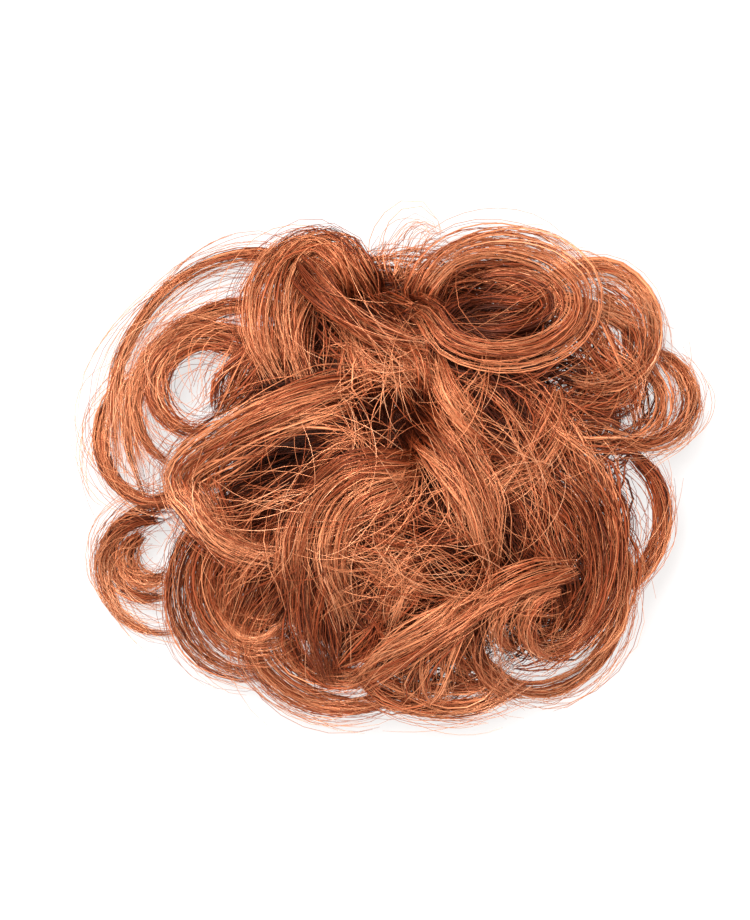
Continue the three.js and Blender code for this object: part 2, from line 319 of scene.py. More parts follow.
# Locks
# The locks are curled synthetic fibre, sewn in rows to the base in five sections and combed out into loops.
# A lock follows its solid's path, but four edge curls leave out their first stretch, one arc runs on further
# and one curl is narrower. Inner locks, wisps, skirts, tangles and strays have no solid of their own.
PILE_HALF_WIDTH = 97
PILE_HALF_DEPTH = 79
PILE_RISE = 44
BODY_HALF_WIDTH = 66  # the low backing that the roots start from
BODY_HALF_DEPTH = 57
BODY_CENTRE_Y = 1.5
BODY_RISE = 36
CROWN_ROOT_SHARE = 0.3
SIDE_ROOT_SHARE = 0.72
ROOT_SINK = 3
EDGE_WIDTH = 8  # locks narrower than this are the neat loops round the edge
WISP_THICK = 3  # locks thinner than this are loose wisps of a few fibres


def as_rows(columns, rows):
    return [dict(zip(columns.split(), row)) for row in rows]


SECTIONS = as_rows("name from_deg to_deg tangle_from tangle_to tangles skirts fullness seed", [
    ("crown_locks", 0, 360, 0.02, 0.42, 16, 0, 1.1, 11),
    ("upper_left_locks", 93, 196, 0.3, 0.5, 8, 15, 1.05, 23),
    ("upper_right_locks", -8, 93, 0.25, 0.55, 8, 15, 0.46, 37),
    ("lower_left_locks", 196, 264, 0.3, 0.55, 8, 11, 0.87, 41),
    ("lower_right_locks", 264, 352, 0.3, 0.55, 8, 13, 0.48, 59),
])

CURL_COLUMNS = (
    "section root_deg x y radius_x radius_y from_deg to_deg"
    " start_lift mid_lift end_lift width thick"
)
SWEEP_COLUMNS = "section from_x from_y to_x to_y bow start_lift mid_lift end_lift width thick"

CURLS = as_rows(CURL_COLUMNS, [
    ("crown_locks", 265, -3.5, -26.7, 30, 31.5, 75, 205, 0, 4, -3, 12, 7),
    ("crown_locks", 280, 4.7, -30.3, 25.2, 28.5, 95, 215, -1, 2, -4, 11, 6),
    ("upper_left_locks", 110, -26.5, 45.9, 14.4, 22.8, 45, 235, 2, 9, 3, 13, 8),
    ("upper_left_locks", 100, -20, 44.7, 11.4, 22.8, 40, 230, 0, 5, 2, 11, 7),
    ("upper_left_locks", 150, -57.5, 25.8, 15.6, 14.1, 50, 285, -4, -3, -3, 7.5, 6),
    ("upper_left_locks", 145, -57.5, 21.3, 21.6, 22.5, 75, 255, -6, -5, -6, 5, 5),
    ("upper_left_locks", None, -71, 9.9, 19.6, 19.8, 80, 300, -8, -6, -8, 6, 5),
    ("upper_left_locks", 115, -44, 15.3, 42.6, 50.4, 80, 200, 2, 2, -4, 4.5, 4.5),
    ("upper_left_locks", 130, -44, 12.3, 37.5, 38.4, 85, 212, -6, -4, -6, 5, 4),
    ("upper_right_locks", 85, 32.5, 51.3, 24.6, 17.1, 190, 525, -2, 5, 9, 10, 7),
    ("upper_right_locks", 75, 32.5, 50.5, 26.5, 19.4, 165, 10, -2, 2, -2, 10, 4),
    ("upper_right_locks", 45, 61, 43.8, 18, 19.2, 105, -120, -4, -2, -3, 6, 5),
    ("upper_right_locks", None, 73, 22.5, 17, 14.7, 80, -135, -8, -6, -6, 5.5, 5),
    ("lower_left_locks", None, -74, -26.1, 13.8, 12.6, 80, 300, -10, -8, -12, 6, 6),
    ("lower_left_locks", 210, -69.5, -29.7, 20.1, 19.8, 130, 290, -12, -8, -12, 4, 5),
    ("lower_left_locks", 225, -44.5, -35.7, 22.5, 25.2, 130, 300, -6, -5, -8, 9, 7),
    ("lower_left_locks", 235, -42.5, -35, 17.4, 18.6, 140, 320, -6, -4, -6, 9, 7),
    ("lower_left_locks", 250, -15.5, -44.7, 29.4, 27.6, 190, 320, -6, -3, -4, 7, 6),
    ("lower_right_locks", None, 58, -13.2, 23.1, 24, 60, -95, -6, -8, -6, 5, 6),
    ("lower_right_locks", 320, 44.5, -36.3, 24.9, 31.5, 40, -200, -8, -5, -6, 5, 5),
    ("lower_right_locks", 330, 41.5, -26.7, 21.6, 27.6, 60, -95, -4, -3, -4, 13, 8),
    ("lower_right_locks", None, 50.5, -46.2, 11.4, 10.8, 95, 255, 2, 3, 0, 5, 5),
    ("lower_right_locks", None, 40, -45.3, 9.6, 9.6, 100, 255, 2, 3, -1, 4.5, 5),
    ("lower_right_locks", None, 40, -53.7, 15.6, 15, 140, 270, -2, -3, -6, 4.5, 5),
    ("lower_right_locks", None, 14.5, -50.7, 30, 21.6, 200, 330, -4, -2, -4, 5, 6),
])

SWEEPS = as_rows(SWEEP_COLUMNS, [
    ("crown_locks", -5.6, 25.2, -63.5, -2.7, -6.5, -6, 6, 0, 15, 8),
    ("crown_locks", -62, 3, -33.5, -25.2, -9, 0, 1, -1, 8, 6),
    ("crown_locks", 2.6, 21.9, 28.7, -29.1, 4.5, -6, 5, 0, 14, 7),
    ("crown_locks", -12, 50, 8, 14, 0, -4, 3, -6, 16, 7),
    ("crown_locks", 28, -24, -4.2, -51.3, 8, -2, 3, -2, 9, 6),
    ("upper_left_locks", -30, 64, 10, 36.3, -5, 8, 10, 5, 9, 5),
    ("upper_right_locks", 13, 42, 55, 54.3, 0, -8, -5, -8, 16, 6),
    ("upper_right_locks", 43, 54.3, 77.6, 37.8, 3, -6, -5, -8, 5, 4),
    ("upper_right_locks", 20, 32, 40, -4, 4, -8, -1, -3, 16, 9),
    ("upper_right_locks", 30, 29, 61, -12, 5, -9, -2, -5, 16, 9),
    ("upper_right_locks", 36, 24, 73, 9.3, -4, -10, -3, -7, 12, 7),
    ("lower_left_locks", -22, 2, -50, -48, -5, -10, -5, -6, 16, 9),
    ("lower_left_locks", -20, -4, -20, -65.7, -5, -10, -3, -5, 13, 8),
    ("lower_right_locks", 20, 6, 52, -29.7, 4, -10, -2, -3, 15, 9),
    ("lower_right_locks", 8, -4, 28, -50, 0, -12, -7, -8, 16, 8),
    ("lower_right_locks", 55, -28.5, -15.5, -66.3, -5, -2, 5, -2, 11, 6),
    ("lower_right_locks", 22, -42.3, 8.5, -72.3, -4, 0, 2, -3, 14, 7),
])

INNER_CURLS = as_rows(CURL_COLUMNS, [
    ("upper_right_locks", None, 32.5, 50, 15, 9, 200, 500, -5, -3, -4, 10, 5),
    ("upper_right_locks", None, 30, 47, 19, 12, 170, 330, -8, -6, -8, 12, 5),
    ("upper_right_locks", None, 56, 38, 16, 18, 80, -120, -6, -5, -6, 10, 4),
    ("upper_right_locks", None, 66, 21, 16, 14, 85, -130, -9, -7, -8, 10, 4),
    ("upper_right_locks", None, 6, 62, 9, 12.5, 200, 40, -2, 2, -2, 7, 2),
    ("lower_left_locks", None, -75, -26, 7, 7.5, 105, 330, -10, -9, -12, 7, 4),
    ("lower_left_locks", None, -42, -36, 10, 11, 120, 330, -7, -6, -8, 10, 5),
    ("lower_left_locks", None, -15.5, -44, 21, 20, 190, 330, -8, -7, -7, 10, 5),
    ("lower_right_locks", None, 46, -34, 20, 27, 60, -60, -8, -7, -8, 13, 5),
    ("lower_right_locks", None, 46, -34, 12, 18, 70, -150, -9, -8, -9, 11, 5),
    ("lower_right_locks", None, 32, -52, 14, 12, 130, 285, -6, -6, -8, 13, 5),
    ("lower_right_locks", None, 14, -50, 23, 17, 190, 340, -6, -5, -6, 10, 5),
])

INNER_SWEEPS = as_rows(SWEEP_COLUMNS, [
    ("crown_locks", 24, -20, -4, -48, -6, -3, 0, -4, 10, 5),
    ("crown_locks", 2, 6, -10, -44, -12, -6, -2, -6, 9, 5),
    ("crown_locks", 6, 2, 0, -40, -8, -8, -4, -8, 9, 5),
    ("crown_locks", 12, 36, 44, 2, -9, -3, 2, -2, 9, 5),
    ("crown_locks", 46, 26, 20, -8, 8, -4, 0, -4, 9, 5),
    ("upper_left_locks", -16, 60, 14, 40, -4, -12, -8, -8, 14, 6),
    ("upper_left_locks", -34, 42, -54, 15, -3, -4, 0, -4, 11, 4),
    ("upper_left_locks", -42, 43, -61, 18, -4, -3, 0, -4, 15, 2),
    ("upper_left_locks", -16, 56, -3, 70, -3, -6, -4, -8, 8, 2),
    ("upper_right_locks", 18, 60, -10, 38, 5, -14, -10, -10, 14, 6),
    ("upper_right_locks", 12, 56, 54, 54, 4, -12, -10, -12, 14, 5),
    ("upper_right_locks", -14, 56, 22, 58, 3, -14, -8, -12, 12, 5),
    ("upper_right_locks", 42, 46, 70, 12, 6, -9, -6, -8, 18, 4),
    ("upper_right_locks", 70, 36, 42, 14, 6, -9, -7, -8, 18, 4),
    ("upper_right_locks", 2, 56, 16, 71, 3, -6, -4, -8, 12, 2),
    ("upper_right_locks", -10, 63, 26, 60, 4, -6, -3, -6, 10, 2),
    ("upper_right_locks", 52, 54, 70, 24, 4, -6, -4, -8, 14, 2),
    ("lower_left_locks", -18, -36, 8, -62, 5, -9, -7, -9, 14, 6),
    ("lower_left_locks", -6, -34, -23, -60, 4, -8, -6, -8, 15, 5),
    ("lower_left_locks", -63, -7, -70, -38, 5, -4, -4, -8, 13, 2),
    ("lower_right_locks", 20, -30, -8, -62, -5, -12, -9, -9, 15, 6),
    ("lower_right_locks", 56, 6, 64, -36, 3, -5, -3, -6, 13, 5),
    ("lower_right_locks", 62, 4, 72, -38, 4, -6, -5, -8, 13, 2),
    ("lower_right_locks", 30, -8, 48, -50, 5, -10, -8, -9, 15, 5),
    ("lower_right_locks", 52, -10, 36, -52, -4, -12, -9, -10, 15, 5),
    ("lower_right_locks", 58, -30, 30, -58, 4, -11, -9, -10, 15, 5),
])

HOLLOWS = as_rows("x y radius depth", [
    (-6, 48, 8, 13),
    (-1, 18, 10, 14),
    (-37, -5, 12, 14),
    (-30, 6, 8, 10),
    (-3, 36, 6, 8),
    (22, -31, 8, 11),
    (25, 50, 9, 9),
    (43, 42, 6, 6),
    (31, 10, 12, 9),
    (12, -27, 7, 8),
    (31, -53, 7, 8),
    (-76, -25, 5, 5),
])


def heap_top(x, y, half_width, half_depth, rise):
    inside = 1 - (x / half_width) ** 2 - (y / half_depth) ** 2
    return rise * np.sqrt(np.maximum(0.0, inside))


def pile_top(x, y):
    return heap_top(x, y, PILE_HALF_WIDTH, PILE_HALF_DEPTH, PILE_RISE)


def pile_points(lock, x, y, t):
    """Points of a lock on the pile, lifted above it or pressed into it, and never under the table."""
    start = lock["start_lift"] * (1 - t) * (1 - 2 * t)
    mid = lock["mid_lift"] * 4 * t * (1 - t)
    end = lock["end_lift"] * t * (2 * t - 1)
    z = pile_top(x, y) + start + mid + end
    return np.stack([x, y, np.maximum(z, lock["thick"] / 2)], axis=1)


def root_point(lock):
    share = CROWN_ROOT_SHARE if lock["section"] == "crown_locks" else SIDE_ROOT_SHARE
    bearing = math.radians(lock["root_deg"])
    x = BASE_HALF_WIDTH * share * math.cos(bearing)
    y = BASE_CENTRE_Y + BASE_HALF_DEPTH * share * math.sin(bearing)
    z = heap_top(x, y - BODY_CENTRE_Y, BODY_HALF_WIDTH, BODY_HALF_DEPTH, BODY_RISE)
    return np.array([[x, y, z - ROOT_SINK]])


CURL_STEP_DEG = 40
SWEEP_STATIONS = 5


def curl_stations(lock):
    count = math.ceil(abs(lock["to_deg"] - lock["from_deg"]) / CURL_STEP_DEG) + 1
    t = np.linspace(0, 1, count)
    turn = np.radians(lock["from_deg"] + (lock["to_deg"] - lock["from_deg"]) * t)
    x = lock["x"] + lock["radius_x"] * np.cos(turn)
    y = lock["y"] + lock["radius_y"] * np.sin(turn)
    points = pile_points(lock, x, y, t)
    return points if lock["root_deg"] is None else np.concatenate([root_point(lock), points])


def sweep_stations(lock):
    t = np.linspace(0, 1, SWEEP_STATIONS)
    along = np.array([lock["to_x"] - lock["from_x"], lock["to_y"] - lock["from_y"]])
    left = np.array([-along[1], along[0]]) / np.hypot(*along)
    out = lock["bow"] * 4 * t * (1 - t)
    x = lock["from_x"] + along[0] * t + left[0] * out
    y = lock["from_y"] + along[1] * t + left[1] * out
    return pile_points(lock, x, y, t)


PATH_POINTS = 200
SPAN_POINTS = 40


def smooth_path(stations):
    """A smooth path through the stations: even points, each with the ways across and over the lock."""
    ends = (2 * stations[0] - stations[1], 2 * stations[-1] - stations[-2])
    held = np.concatenate([ends[:1], stations, ends[1:]])
    u = np.linspace(0, 1, SPAN_POINTS, endpoint=False)[:, None]
    spans = []
    for p0, p1, p2, p3 in zip(held[:-3], held[1:-2], held[2:-1], held[3:]):
        d0, d1, d2 = (max(np.linalg.norm(b - a), 1e-4) ** 0.5 for a, b in ((p0, p1), (p1, p2), (p2, p3)))
        leave = ((p1 - p0) / d0 - (p2 - p0) / (d0 + d1) + (p2 - p1) / d1) * d1
        arrive = ((p2 - p1) / d1 - (p3 - p1) / (d1 + d2) + (p3 - p2) / d2) * d1
        cubic = (2 * p1 - 2 * p2 + leave + arrive) * u**3
        square = (-3 * p1 + 3 * p2 - 2 * leave - arrive) * u**2
        spans.append(cubic + square + leave * u + p1)
    points = np.concatenate(spans + [stations[-1:]])
    lengths = np.concatenate([[0], np.cumsum(np.linalg.norm(np.diff(points, axis=0), axis=1))])
    even = np.linspace(0, lengths[-1], PATH_POINTS)
    points = np.stack([np.interp(even, lengths, points[:, k]) for k in range(3)], axis=1)
    along = np.gradient(points, axis=0)
    along /= np.linalg.norm(along, axis=1, keepdims=True)
    side = np.cross(along, (0, 0, 1))
    side /= np.linalg.norm(side, axis=1, keepdims=True)
    return {"points": points, "side": side, "over": np.cross(side, along), "length": lengths[-1]}


def on_path(path, t, out, up):
    """Points at shares t of a path, moved out to its side and up over it."""
    place = np.linspace(0, 1, len(path["points"]))
    points = np.empty((*t.shape, 3))
    for k in range(3):
        side = np.interp(t, place, path["side"][:, k])
        over = np.interp(t, place, path["over"][:, k])
        points[:, :, k] = np.interp(t, place, path["points"][:, k]) + side * out + over * up
    return points


# Painted shade darkens hair deep in the pile, and painted light lightens hair above the pile's top and thin
# hair at its edge
DEPTH_PAINTED_SHADE = 0.9
DEPTH_BAND = 9
DEPTH_LIMITS = (-0.75, 0.3)
OWN_TONE_DEPTH = 2  # depth in the pile at which hair keeps its own tone
DEEP_PILE = 41  # height of the pile from which depth counts in full
EDGE_PAINTED_LIGHT = 0.42


def painted_depth_shade_and_edge_light(points):
    """Painted shade and light: hair deep in the pile is darker, and hair at its top and thin hair at its edge
    are lighter.
    """
    top = pile_top(points[:, :, 0], points[:, :, 1])
    deep = np.clip((points[:, :, 2] - top + OWN_TONE_DEPTH) / DEPTH_BAND, *DEPTH_LIMITS)
    deep *= np.minimum(1, top / DEEP_PILE) ** 4
    return DEPTH_PAINTED_SHADE * deep + EDGE_PAINTED_LIGHT * (1 - top / PILE_RISE)


def hollow_depth(points):
    """How far the hair sinks at the hollows between the curls, where one looks down into the pile."""
    sunk = np.zeros(points.shape[:2])
    for hollow in HOLLOWS:
        away = np.hypot(points[:, :, 0] - hollow["x"], points[:, :, 1] - hollow["y"])
        sunk += hollow["depth"] * np.exp(-((away / hollow["radius"]) ** 2))
    return sunk


ROOT_WIDTH = 0.6
ROOT_WIDENING = 2.5
TAPER_FROM = 0.65
TAPER = 0.6


def swell(t):
    """A lock's share of its full width: it widens from its root and tapers to its tip."""
    ease = np.clip((t - TAPER_FROM) / (1 - TAPER_FROM), 0, 1)
    return np.minimum(1, ROOT_WIDTH + ROOT_WIDENING * t) * (1 - TAPER * ease * ease * (3 - 2 * ease))


FIBRE_RADIUS = 0.115
FIBRE_SIZES = (0.7, 1.2)  # shares of the radius
FIBRE_TAPER = 0.55
CORE_RADIUS = 0.22
CORE_SIZES = (0.6, 1.2)
FIBRE_SEGMENTS = (8, 60)  # fewest and most
CORE_STRETCH = (0.02, 0.92)  # where the core of a clump starts and ends along its lock
LATEST_START = 0.10
TIP_LOSS = 0.3  # how much earlier the shortest fibres end
CLUMP_REACH = (0.02, 0.8)  # squares of the shares of a lock's half width at which clumps lie
CLUMP_WANDER = 0.3
CLUMP_PACES = (0.5, 1.4)  # waves along a lock
FIBRE_SPREAD = 0.12
CORE_SPREAD = 0.25
STRAYING_SHARE = 0.36  # share of a lock's fibres that leave their clump
STRAYING_SPREAD = 3.0
ROOT_FRAY = 0.75
TIP_FRAY = 1.5
MOST_TWIST = 0.9
FIBRE_WAVES = (0.5, 1.6)
FIBRE_SWAY = 0.35
FIBRE_BOB = 0.25
FLICKED_SHARE = 0.4
FLICK_FROM = 0.6
FLICK = 18
LOWEST_FIBRE = 0.5
LOCK_TONES = 0.09  # how much locks, clumps and fibres differ in tone
CLUMP_TONES = 0.2
FIBRE_TONES = 0.22
CORE_TONE = -0.08

# How loosely each kind of lock is combed, how light it is, and how thick the cores of its clumps are. The
# inner, under-loop, wisp and skirt kinds are lighter as painted light, for hair that lies in shade.
COMBING = {row["kind"]: row for row in as_rows("kind loose light core_size", [
    ("lock", 1.2, 0.47, 1.0),
    ("loop", 0.55, 0.47, 1.0),
    ("inner lock", 1.2, 0.54, 1.5),
    ("inner loop", 0.55, 0.54, 1.5),
    ("under a lock", 1.4, 0.47, 1.5),
    ("under a loop", 0.8, 0.6, 1.5),
    ("wisp", 1.3, 0.66, 0),
    ("skirt", 1.2, 0.72, 1.8),
    ("tangle", 1.4, 0.47, 0),
])}


def comb_lock(path, size, count, clumps, step, kind, dice):
    """Fibres of one lock, in clumps that wander about its path and fray at its tip.

    Each clump has a thicker core, unless the lock's kind has none.
    """
    width, thick = size
    loose = COMBING[kind]["loose"]
    core_size = COMBING[kind]["core_size"]
    segments = int(np.clip(round(path["length"] / step), *FIBRE_SEGMENTS))
    total = clumps + count
    core = np.arange(total)[:, None] < clumps
    clump_of = np.concatenate([np.arange(clumps), dice.integers(0, clumps, count)])
    first = np.where(core, CORE_STRETCH[0], dice.uniform(0, LATEST_START, (total, 1)))
    last = np.where(core, CORE_STRETCH[1], 1 - TIP_LOSS * dice.uniform(0, 1, (total, 1)) ** 2)
    share = np.broadcast_to(np.linspace(0, 1, segments + 1), (total, segments + 1))
    t = first + (last - first) * share

    def wander():
        phase = dice.uniform(0, 2 * math.pi, clumps)[clump_of][:, None]
        pace = dice.uniform(*CLUMP_PACES, clumps)[clump_of][:, None]
        return CLUMP_WANDER * loose * np.sin(2 * math.pi * pace * t + phase)

    bearing = dice.uniform(0, 2 * math.pi, clumps)
    reach = np.sqrt(dice.uniform(*CLUMP_REACH, clumps)) * min(1.0, 0.4 + 0.6 * loose)
    clump_x = (reach * np.cos(bearing))[clump_of][:, None] + wander()
    clump_y = (reach * np.sin(bearing))[clump_of][:, None] + wander()
    straying = dice.random((total, 1)) < STRAYING_SHARE
    spread = np.where(core, CORE_SPREAD, np.where(straying, STRAYING_SPREAD, 1.0)) * loose
    fray = ROOT_FRAY + TIP_FRAY * t**3
    across = clump_x + dice.normal(0, FIBRE_SPREAD, (total, 1)) * spread * fray
    deep = clump_y + dice.normal(0, FIBRE_SPREAD, (total, 1)) * spread * fray
    twist = loose * dice.uniform(-MOST_TWIST, MOST_TWIST) * t
    turned = across * np.cos(twist) - deep * np.sin(twist)
    risen = across * np.sin(twist) + deep * np.cos(twist)

    waves = dice.uniform(*FIBRE_WAVES, (total, 1))
    phase = dice.uniform(0, 2 * math.pi, (total, 2, 1))
    flicked = np.where(core, 0.0, dice.random((total, 1)) < FLICKED_SHARE)
    flick = np.clip(t - FLICK_FROM, 0, 1) ** 2 * FLICK * dice.normal(0, 1, (2, total, 1)) * flicked
    sway = FIBRE_SWAY * spread * np.sin(2 * math.pi * waves * t + phase[:, 0]) + flick[0]
    bob = FIBRE_BOB * spread * np.sin(2 * math.pi * 0.8 * waves * t + phase[:, 1]) + 0.5 * flick[1]
    full = swell(t)
    points = on_path(path, t, turned * full * width / 2 + sway, risen * full * thick / 2 + bob)
    points[:, :, 2] = np.maximum(points[:, :, 2] - hollow_depth(points), LOWEST_FIBRE)

    tone = dice.normal(COMBING[kind]["light"], LOCK_TONES) + dice.normal(0, CLUMP_TONES, clumps)[clump_of]
    own_tone = np.where(core, CORE_TONE, dice.normal(0, FIBRE_TONES, (total, 1)))
    # the tone takes painted shade deep in the pile, also where hair is sunk at the hollows, and painted light
    # at its top and edge
    tone = tone[:, None] + own_tone + painted_depth_shade_and_edge_light(points)
    fine = FIBRE_RADIUS * dice.uniform(*FIBRE_SIZES, (total, 1)) * (1 - FIBRE_TAPER * t**2)
    rounded = 1.02 - (2 * share - 1) ** 6
    broad = CORE_RADIUS * core_size * dice.uniform(*CORE_SIZES, (total, 1)) * rounded
    radius = np.where(core, broad, fine)
    made = {"points": points, "tone": np.clip(tone, 0.02, 0.9), "along": t, "radius": radius}
    fibres = {name: values[clumps:] for name, values in made.items()} | {"core": False}
    cores = {name: values[:clumps] for name, values in made.items()} | {"core": True}
    return [fibres, cores] if core_size else [fibres]


def turned_flat(points, angle):
    """The points turned about the upright line through their middle."""
    middle = points.mean(axis=0)
    away = points - middle
    x = away[:, 0] * math.cos(angle) - away[:, 1] * math.sin(angle)
    y = away[:, 0] * math.sin(angle) + away[:, 1] * math.cos(angle)
    return np.stack([x, y, away[:, 2]], axis=1) + middle


UNDER_EVERY = 22  # steps along a path from one of an under-lock's stations to the next
UNDER_TURN = 0.25
UNDER_IN = (0.03, 0.18)
UNDER_DOWN = (4, 9)
LOWEST_PATH = 2.0


def under_path(path, shift, dice):
    """A lock that lies deeper in the pile: a path's copy, turned a little, drawn in and pressed down."""
    points = turned_flat(path["points"][::UNDER_EVERY], shift * dice.normal(0, UNDER_TURN))
    points[:, :2] *= 1 - shift * dice.uniform(*UNDER_IN)
    points[:, 2] = np.maximum(points[:, 2] - shift * dice.uniform(*UNDER_DOWN), LOWEST_PATH)
    return smooth_path(points)


LOCK_FIBRES = 40  # what a lock has at a fullness of 1, before what its size adds
FIBRES_FOR_SIZE = 3.2
LOCK_CLUMPS = 6
UNDER_THINNING = 4
LOOP_SHIFT = 0.12  # share of the full shift that the lock under an edge loop makes
LOOP_SWELL = 1.2
LOCK_SWELL = 1.6


def lock_bundles(path, lock, step, inner, fullness, dice):
    """The fibres of a lock, and those of the wider one that lies under it."""
    width = lock["width"]
    thick = lock["thick"]
    count = round(fullness * (LOCK_FIBRES + FIBRES_FOR_SIZE * width * math.sqrt(thick)))
    clumps = LOCK_CLUMPS + round(width)
    form = "loop" if width < EDGE_WIDTH else "lock"
    kind = "inner " + form if inner else form
    shift = LOOP_SHIFT if form == "loop" else 1.0
    wider = LOOP_SWELL if form == "loop" else LOCK_SWELL
    bundles = comb_lock(path, (width, thick), count, clumps, step, kind, dice)
    deeper = under_path(path, shift, dice)
    under_size = (wider * width, wider * thick)
    under_count = count // UNDER_THINNING
    return bundles + comb_lock(deeper, under_size, under_count, clumps, step, "under a " + form, dice)


SKIRT_STATIONS = 6
SKIRT_START = (0.5, 0.62)  # shares of the mat's outline
SKIRT_REACH = (0.44, 0.6)
SKIRT_SWING = 0.3
SKIRT_LIFT = 1.4
SKIRT_FALL = 22
LOWEST_SKIRT = 0.8


def skirt_path(bearing, dice):
    """A short lock that falls over the mat's edge and the hem to the table, under the curls."""
    t = np.linspace(0, 1, SKIRT_STATIONS)
    share = dice.uniform(*SKIRT_START) + dice.uniform(*SKIRT_REACH) * t
    x, y = mat_outline(share, bearing + dice.uniform(-SKIRT_SWING, SKIRT_SWING) * t)
    z = mat_top(np.minimum(share, 1)) + SKIRT_LIFT - SKIRT_FALL * np.maximum(share - 1, 0)
    return smooth_path(np.stack([x, y, np.maximum(z, LOWEST_SKIRT)], axis=1))


TANGLE_STATIONS = 7
TANGLE_RADII = (16, 42)
TANGLE_TURNS_DEG = (50, 120)
TANGLE_SQUASH = (0.7, 1.2)
TANGLE_LIFTS = (-5, 1)
TANGLE_ARCH = 4


def tangle_path(section, dice):
    """A short loose curl on top of the pile, inside its section."""
    bearing = math.radians(dice.uniform(section["from_deg"], section["to_deg"]))
    out = dice.uniform(section["tangle_from"], section["tangle_to"])
    radius = dice.uniform(*TANGLE_RADII)
    t = np.linspace(0, 1, TANGLE_STATIONS)
    start = dice.uniform(0, 2 * math.pi)
    turn = start + t * math.radians(dice.uniform(*TANGLE_TURNS_DEG)) * dice.choice([-1, 1])
    x = radius * np.cos(turn)
    y = radius * dice.uniform(*TANGLE_SQUASH) * np.sin(turn)
    x += out * PILE_HALF_WIDTH * math.cos(bearing) - x.mean()
    y += out * PILE_HALF_DEPTH * math.sin(bearing) - y.mean()
    z = pile_top(x, y) + dice.uniform(*TANGLE_LIFTS) + TANGLE_ARCH * (np.sin(math.pi * t) - 0.5)
    return smooth_path(np.stack([x, y, np.maximum(z, LOWEST_PATH)], axis=1))


STRAY_SEGMENTS = 12
STRAY_REACH = (0.35, 0.8)  # share of a lock's length
STRAY_SHIFT = (3.0, 3.0, 0.5)
STRAY_BEND = (1.5, 1.5, 0.8)
STRAY_LIFT = (0.5, 3.5)
STRAY_HALF_WIDTH = 101
STRAY_HALF_DEPTH = 83
STRAY_TOP = 54
LOWEST_STRAY = 0.3
# strays are lighter than the locks, partly as a painted highlight on loose fibres that catch the light
STRAY_TONE_AND_PAINTED_HIGHLIGHT = 0.7
STRAY_TONES = 0.15
STRAY_SIZES = (0.65, 0.95)


def stray_fibres(paths, count, turn, dice):
    """Single fibres that have come loose: each keeps a stretch of some lock's curve, turned and lifted."""
    strands = np.empty((count, STRAY_SEGMENTS + 1, 3))
    bow = np.linspace(-1, 1, STRAY_SEGMENTS + 1)[:, None]
    for i in range(count):
        points = paths[dice.integers(len(paths))]["points"]
        reach = dice.uniform(*STRAY_REACH)
        start = dice.uniform(0, 1 - reach)
        stops = np.linspace(start, start + reach, STRAY_SEGMENTS + 1) * (len(points) - 1)
        line = np.stack([np.interp(stops, np.arange(len(points)), points[:, k]) for k in range(3)], axis=1)
        line = turned_flat(line, dice.normal(0, turn))
        line += dice.normal(0, STRAY_SHIFT) + dice.normal(0, STRAY_BEND) * bow**3
        line[:, 2] += dice.uniform(*STRAY_LIFT)
        outside = np.hypot(line[:, 0] / STRAY_HALF_WIDTH, line[:, 1] / STRAY_HALF_DEPTH).max()
        line[:, :2] /= max(1.0, outside)
        strands[i] = line
    strands[:, :, 2] = np.clip(strands[:, :, 2], LOWEST_STRAY, STRAY_TOP)
    t = np.broadcast_to(np.linspace(0, 1, STRAY_SEGMENTS + 1), (count, STRAY_SEGMENTS + 1))
    # strays take half the painted shade and painted light of their depth
    tone = dice.normal(STRAY_TONE_AND_PAINTED_HIGHLIGHT, STRAY_TONES, (count, 1)) + 0.5 * painted_depth_shade_and_edge_light(strands)
    pointed = 1 - 0.5 * np.abs(2 * t - 1) ** 3
    radius = FIBRE_RADIUS * dice.uniform(*STRAY_SIZES, (count, 1)) * pointed
    return {"points": strands, "tone": np.clip(tone, 0.1, 0.97), "along": t, "radius": radius, "core": False}


HAIR_COLOURS = [
    (0.0, (0.013, 0.002, 0.001)),
    (0.3, (0.064, 0.0090, 0.0027)),
    (0.6, (0.236, 0.044, 0.013)),
    (0.85, (0.530, 0.192, 0.084)),
    (1.0, (0.730, 0.400, 0.240)),
]
HAIR_SHINE_TINT = (1.0, 0.72, 0.55, 1.0)
HAIR_STREAK_SCALE = (300.0, 10.0, 1.0)


def hair_finish():
    """Auburn fibre. Tone runs across the UV map. Fibres are in its lower half, cores in its upper half."""
    finish, shade, shader = new_finish("auburn_fibre", 0.4)
    place = shade.node("ShaderNodeUVMap", {"uv_map": "OFBake"}, {})
    tone = shade.node("ShaderNodeSeparateXYZ", {}, {"Vector": place}, "X")
    up = shade.node("ShaderNodeSeparateXYZ", {}, {"Vector": place}, "Y")
    core = shade.math("GREATER_THAN", up, 0.5)
    along = up * 2.0 - core
    streak_place = shade.node("ShaderNodeMapping", {}, {"Vector": place, "Scale": HAIR_STREAK_SCALE})
    streak = shade.node("ShaderNodeTexNoise", {}, {"Vector": streak_place, "Scale": 1.0, "Detail": 3.0})
    tint = tone * 0.8 + (streak - 0.5) * (0.2 + core * 0.4) + along * 0.12 + 0.04
    shade.node("ShaderNodeValToRGB", {"stops": HAIR_COLOURS}, {"Fac": tint}).feeds(shader, "Base Color")
    (0.38 - tone * 0.12 + core * 0.2).feeds(shader, "Roughness")
    (0.35 - core * 0.25).feeds(shader, "Metallic")
    shader.inputs["Specular IOR Level"].default_value = 0.3
    shader.inputs["Specular Tint"].default_value = HAIR_SHINE_TINT
    return finish


FIBRE_STRIP = 0.012  # width of one fibre's strip on the UV map
CORE_STRIP = 0.02


